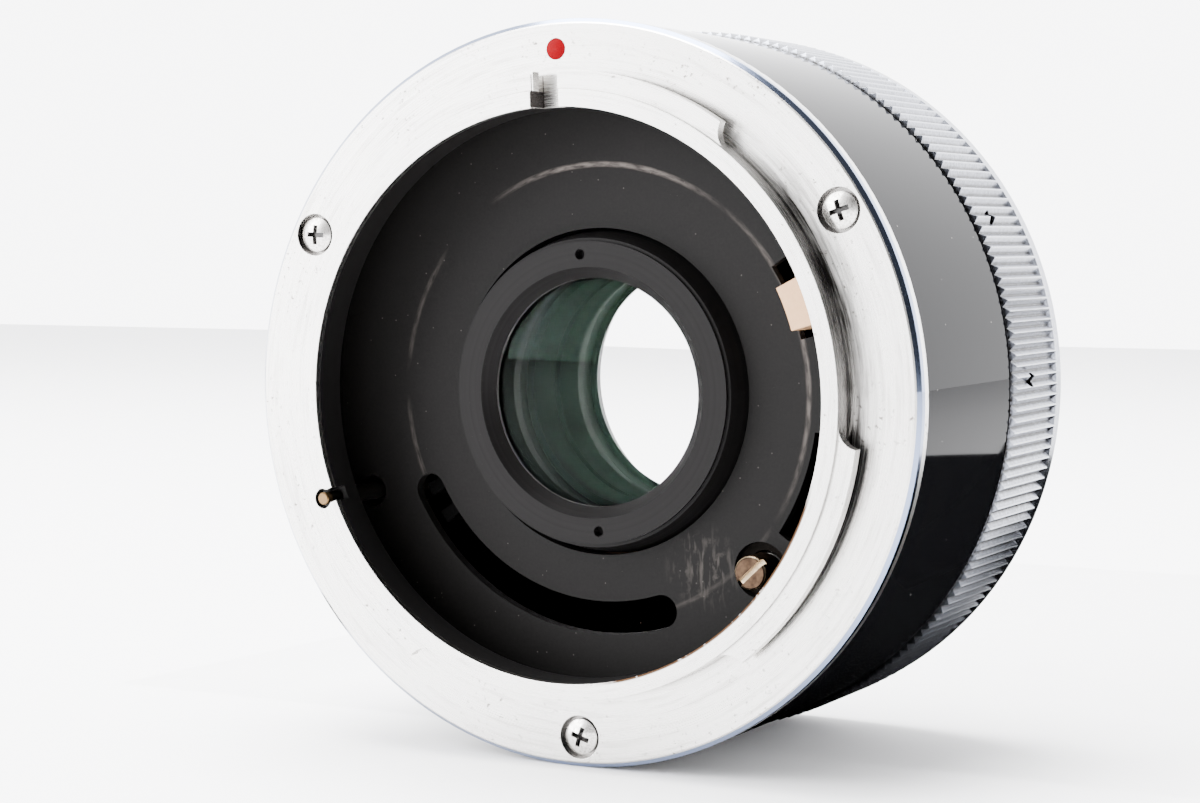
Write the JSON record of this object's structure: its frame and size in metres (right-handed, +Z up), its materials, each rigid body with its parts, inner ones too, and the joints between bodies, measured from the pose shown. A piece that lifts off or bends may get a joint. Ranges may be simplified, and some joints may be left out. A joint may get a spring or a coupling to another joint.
{
  "type": "camera teleconverter",
  "caption": "Short barrel with optics that fits between a breech-lock lens and a camera body, with a knurled locking ring, signal levers and a lens lock pin.",
  "frame": {"origin": "centre of the lens-side throat, in the plane of the seating ring's face", "axes": "+Y along the optical axis from the lens side to the camera side, +Z up through the index dot, +X to the right as seen from the lens side"},
  "size_m": [0.0636, 0.0436, 0.0636],
  "materials": {
    "chromed_brass": "satin",
    "satin_chrome": "satin, straight knurl",
    "red_enamel": "gloss",
    "screw_steel": "polished",
    "black_enamel": "gloss",
    "baffle_black": "matte",
    "blackened_steel": "blackened",
    "black_anodised": "matte anodised",
    "brass": "aged",
    "spring_steel": "drawn wire",
    "tan_resin": "moulded",
    "coated_glass": "coated"
  },
  "bodies": {
    "housing": {"front_mount": "chromed_brass", "rear_mount": "chromed_brass", "index_dot": "red_enamel", "front_mount_screws": "screw_steel", "cell_screws": "screw_steel", "rear_mount_screws": "screw_steel", "positioning_pin": "screw_steel", "barrel": "black_enamel", "front_baffle": "baffle_black", "rear_baffle": "baffle_black", "baffle_snap_ring": "blackened_steel", "carrier_clip": "blackened_steel", "lens_cell": "black_anodised", "front_retaining_ring": "black_anodised", "rear_retaining_ring": "black_anodised", "lens_spacer_front": "black_anodised", "lens_spacer_middle": "black_anodised", "lens_spacer_rear": "black_anodised", "carrier_spacer": "black_anodised", "carrier_sleeve": "black_anodised", "plunger_bush": "brass", "lock_pin_cup": "brass", "signal_spring": "spring_steel", "stopdown_spring": "spring_steel", "plunger_spring": "spring_steel", "lock_pin_spring": "spring_steel", "lens_element_1": "coated_glass", "lens_element_2": "coated_glass", "lens_element_3": "coated_glass", "lens_element_4": "coated_glass", "lens_element_5": "coated_glass", "lens_element_6": "coated_glass"},
    "breech_ring": {"breech_ring": "satin_chrome", "ring_screws": "screw_steel", "rear_index_dot": "red_enamel", "claw_ring": "blackened_steel"},
    "signal_lever": {"signal_carrier": "brass", "signal_tab": "tan_resin", "signal_rear_lever": "blackened_steel", "signal_rivets": "blackened_steel"},
    "stopdown_lever": {"stopdown_carrier": "brass", "stopdown_fork": "blackened_steel", "stopdown_rear_lever": "blackened_steel"},
    "signal_plunger": {"signal_screw": "brass", "signal_rod": "brass"},
    "lock_pin": {"lock_pin": "brass"}
  },
  "joints": [
    {"name": "breech_ring_turn", "type": "hinge", "parent": "housing", "child": "breech_ring", "pos_m": [0, 0.03, 0], "axis": [0, 1, 0], "range_deg": [0, 60]},
    {"name": "signal_lever_turn", "type": "hinge", "parent": "housing", "child": "signal_lever", "pos_m": [0, 0.012, 0], "axis": [0, 1, 0], "range_deg": [-6, 0], "stiffness_Nm_per_rad": 0.02, "springref_deg": 11.46},
    {"name": "stopdown_lever_turn", "type": "hinge", "parent": "housing", "child": "stopdown_lever", "pos_m": [0, 0.02, 0], "axis": [0, 1, 0], "range_deg": [-40, 0], "stiffness_Nm_per_rad": 0.01, "springref_deg": 17.19},
    {"name": "signal_plunger_slide", "type": "slide", "parent": "housing", "child": "signal_plunger", "axis": [0, 1, 0], "range_m": [0, 0.0016], "stiffness_N_per_m": 300, "springref_m": -0.002, "deforming": ["plunger_spring"]},
    {"name": "lock_pin_slide", "type": "slide", "parent": "housing", "child": "lock_pin", "axis": [0, 1, 0], "range_m": [0, 0.0012], "stiffness_N_per_m": 300, "springref_m": -0.002, "deforming": ["lock_pin_spring"]}
  ]
}
